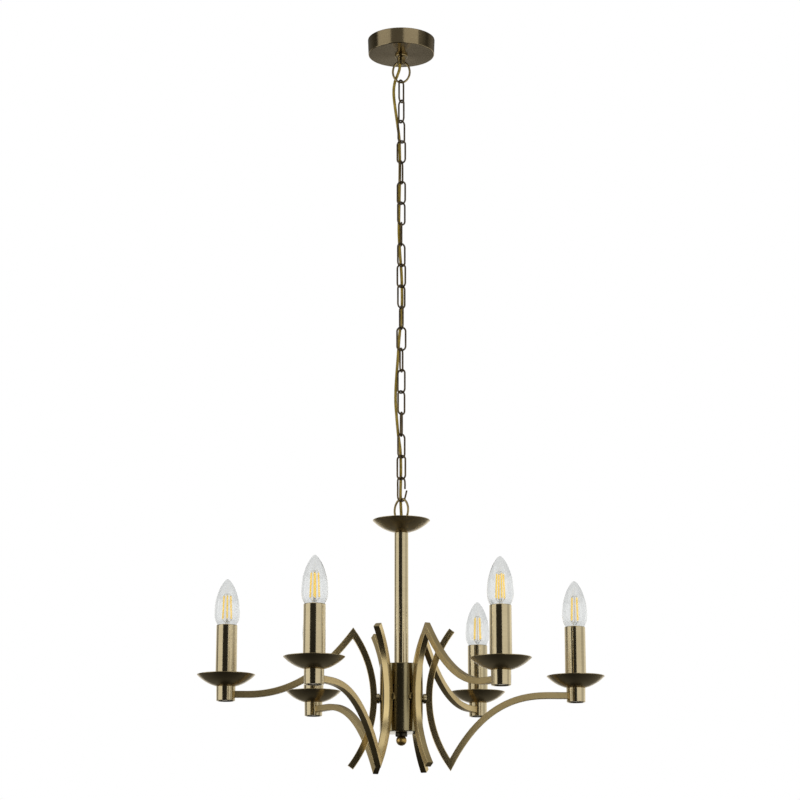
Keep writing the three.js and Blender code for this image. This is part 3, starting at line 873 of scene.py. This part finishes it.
FILAMENT_TURNS = (43, 47, 20, 4, -5, 18)
FILAMENT_FOOT, FILAMENT_HEAD = 41, 75.5
FILAMENT_RADIUS, LEAD_RADIUS, WIRE_RADIUS = 1.15, 0.8, 0.25


def bulb_inside():
    """Four filaments leaning together from short leads up to a wire cross."""
    part = Part()
    above = lambda point, height: point + Vector((0, 0, height))
    for k in range(4):
        turn = math.radians(90 * k)
        side = Vector((math.cos(turn), math.sin(turn), 0))
        foot, head = above(side * 6.0, FILAMENT_FOOT), above(side * 4.6, FILAMENT_HEAD)
        low, high = foot.lerp(head, 0.04), foot.lerp(head, 0.96)
        part.sweep([low.lerp(high, t / 4) for t in range(5)], circle(FILAMENT_RADIUS, 12), 0)
        part.sweep([foot, low], circle(LEAD_RADIUS, 12), 1)
        part.sweep([high, head], circle(LEAD_RADIUS, 12), 1)
        hook = above(head - side * 0.6, 1.2)
        part.sweep([head, hook, above(side * 0.4, FILAMENT_HEAD + 1.6)], circle(WIRE_RADIUS, 8), 1)
        part.sweep([above(side * 1.1, 37), above(side * 3.6, 38.7), foot], circle(WIRE_RADIUS, 8), 1)
    post = [Vector((0, 0, z)) for z in (40.9, 58, FILAMENT_HEAD + 1.8)]
    part.sweep(post, circle(0.28, 8), 1)
    return part.mesh("inside", [FILAMENT, NICKEL])


def fixtures():
    arms = {1: arm_mesh("arm_high", 1), -1: arm_mesh("arm_low", -1)}
    bowl, sleeve, holder = dish("drip_bowl", 5.4), sleeve_mesh(), holder_mesh()
    glass, cap, inside = bulb_glass(), bulb_cap(), bulb_inside()
    for k in range(6):
        n = k + 1
        side = turn_z(ARM_TURN + 60 * k, ARM_MIDDLE)
        candle = side @ Matrix.Translation((CANDLE_RADIUS * MM, 0, RIM * MM))
        up = -1 if k % 2 == 0 else 1
        place(f"arm_bar_{n}", arms[up], "fixture", "antique_brass", [f"arm_{n}"], side)
        place(f"drip_bowl_{n}", bowl, "fixture", "antique_brass", [f"drip_dish_{n}"], candle)
        place(f"sleeve_{n}", sleeve, "fixture", "antique_brass", [f"candle_sleeve_{n}"], candle)
        place(f"holder_{n}", holder, "fixture", "holder_plastic", [f"lampholder_{n}"], candle)
        body = f"bulb_{n}"
        seat = candle @ Matrix.Translation((0, 0, BULB_SEAT * MM))
        place(f"envelope_{n}", glass, body, "bulb_glass", [f"bulb_{n}"], seat)
        spin = seat @ Matrix.Rotation(math.radians(FILAMENT_TURNS[k] - ARM_TURN - 60 * k), 4, "Z")
        place(f"cap_{n}", cap, body, "bulb_glass", (), seat)
        place(f"filaments_{n}", inside, body, "bulb_glass", (), spin)


# ---------------------------------------------------------------- studio
FLOOR_Z = -2600
FLOOR_REACH = 9000
FLOOR_THICKNESS = 40
PANEL_DISTANCE = 2.2
PANELS = (  # name, azimuth, height, size, level
    ("soft_left", -71, -0.95, (2.3, 2.2), 1.08),
    ("soft_right", 41, -0.95, (2.2, 2.2), 0.97),
    ("soft_side", 94, -0.95, (2.2, 2.2), 0.65),
    ("high_left", -62, 1.15, (2.1, 1.2), 0.55),
    ("high_right", 34, 1.15, (2.2, 1.2), 0.57),
)


def panel(name, azimuth, height, size, level):
    """A soft box at an azimuth from the camera's side, facing the chandelier's axis."""
    light = bpy.data.lights.new(name, "AREA")
    light.shape = "RECTANGLE"
    light.size, light.size_y = size
    light.energy = level * math.pi * size[0] * size[1]
    made = bpy.data.objects.new(name, light)
    scene.collection.objects.link(made)
    turn = math.radians(azimuth)
    made.location = Vector((PANEL_DISTANCE * math.sin(turn), -PANEL_DISTANCE * math.cos(turn), height))
    aim = Vector((0, 0, height)) - made.location
    made.rotation_euler = aim.to_track_quat("-Z", "Y").to_euler()


def pale_floor():
    """A floor well below the chandelier. It glows a little to stay pale, and isn't reflected."""
    s = Shader("floor_pale")
    grain = s.noise(s.where("Object"), 3.0, 2.0)
    s.set("Base Color", s.ramp(grain, (0.3, (0.80, 0.80, 0.80)), (0.7, (0.84, 0.84, 0.84))))
    s.set("Roughness", 0.8)
    s.set("Emission Color", (1, 1, 1, 1))
    s.set("Emission Strength", 0.4)
    low = (-FLOOR_REACH, -FLOOR_REACH, FLOOR_Z - FLOOR_THICKNESS)
    high = (FLOOR_REACH, FLOOR_REACH, FLOOR_Z)
    floor = bpy.data.objects.new("floor", block(low, high, "floor", [s.material]))
    scene.collection.objects.link(floor)
    floor.visible_glossy = False


def surroundings():
    """White to the camera and through glass. The metal sees a pale wall behind and faint glows above."""
    world = bpy.data.worlds.new("studio")
    scene.world = world
    world.use_nodes = True
    sky = Nodes(world.node_tree)
    direction = sky.node("ShaderNodeTexCoord").outputs["Generated"]
    x, y, z = sky.node("ShaderNodeSeparateXYZ", {0: direction}).outputs
    wall = sky.span(y, 0.0, 1.0, 0.15, 0.75)
    low = sky.span(z, 0.1, 1.15, -0.36, -0.12)
    fade = sky.span(z, 1.0, 0.06, 0.19, 0.34)
    left = sky.span(x, 0.6, 1.0, -0.8, -0.2)
    level = sky.math("MULTIPLY", sky.math("MULTIPLY", sky.math("MULTIPLY", wall, low), fade), left)
    front = sky.span(y, 1.0, 0.0, -0.3, 0.2)
    front_glow = sky.math("MULTIPLY", front, sky.span(z, 0.0, 0.2, 0.2, 0.36))
    ceiling_glow = sky.span(z, 0.02, 0.3, 0.45, 0.8)
    level = sky.math("ADD", sky.math("ADD", level, front_glow), ceiling_glow)
    dim = sky.node("ShaderNodeBackground", {0: (1, 0.985, 0.95, 1), 1: level}).outputs[0]
    bright = sky.node("ShaderNodeBackground", {0: (1, 1, 1, 1), 1: 1.0}).outputs[0]
    rays = sky.node("ShaderNodeLightPath").outputs
    seen = sky.math("MAXIMUM", rays["Is Camera Ray"], rays["Is Transmission Ray"])
    mixed = sky.node("ShaderNodeMixShader", {0: seen, 1: dim, 2: bright}).outputs[0]
    sky.put(sky.tree.nodes["World Output"].inputs[0], mixed)


def studio():
    pale_floor()
    for values in PANELS:
        panel(*values)
    surroundings()


cable()
hang_chain()
ceiling()
column()
drum()
fixtures()
studio()
